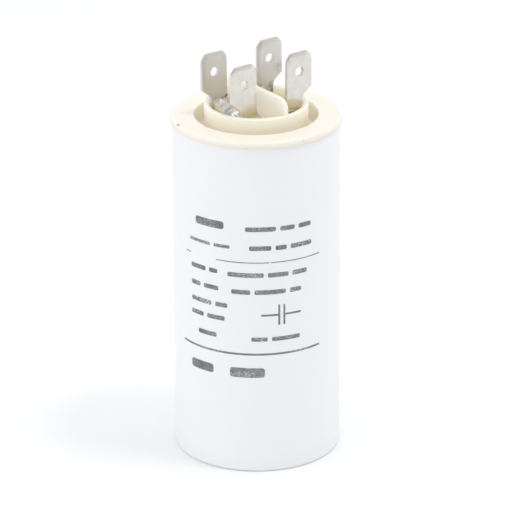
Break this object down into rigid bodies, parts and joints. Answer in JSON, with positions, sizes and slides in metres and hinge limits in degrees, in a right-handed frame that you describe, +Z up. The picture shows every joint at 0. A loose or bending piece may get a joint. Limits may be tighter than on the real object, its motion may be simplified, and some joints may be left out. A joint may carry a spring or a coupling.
{
  "type": "motor-run capacitor",
  "caption": "Upright round motor-run film capacitor: white moulded case, cream terminal deck with moat, collar and divider, and double push-on tabs on each side of the divider.",
  "frame": {"origin": "centre of the base, on the surface that the capacitor stands on", "axes": "+Z up along the case to the terminals, +X from the left terminal to the right one across the divider, +Y along the divider"},
  "size_m": [0.0357, 0.0356, 0.0874],
  "materials": {
    "case_plastic": "smooth cool white moulded plastic, satin",
    "deck_plastic": "cream moulded plastic, satin",
    "terminal_metal": "tinned sheet, dull and lightly streaked",
    "solder": "bright solder with traces of flux",
    "ink": "thin grey print, a little worn",
    "lead_wire": "tinned copper wire",
    "sleeve_plastic": "clear ivory sleeve",
    "film": "wound metallised film",
    "core_plastic": "plain moulded tube",
    "sprayed_metal": "rough sprayed zinc",
    "resin": "poured resin"
  },
  "bodies": {
    "root": {"case": "case_plastic", "deck": "deck_plastic", "left_terminal": "terminal_metal", "right_terminal": "terminal_metal", "left_solder": "solder", "right_solder": "solder", "left_lead": "lead_wire", "right_lead": "lead_wire", "lead_sleeve": "sleeve_plastic", "winding": "film", "winding_core": "core_plastic", "upper_spray": "sprayed_metal", "lower_spray": "sprayed_metal", "upper_joint": "solder", "lower_joint": "solder", "filling": "resin"}
  },
  "joints": []
}
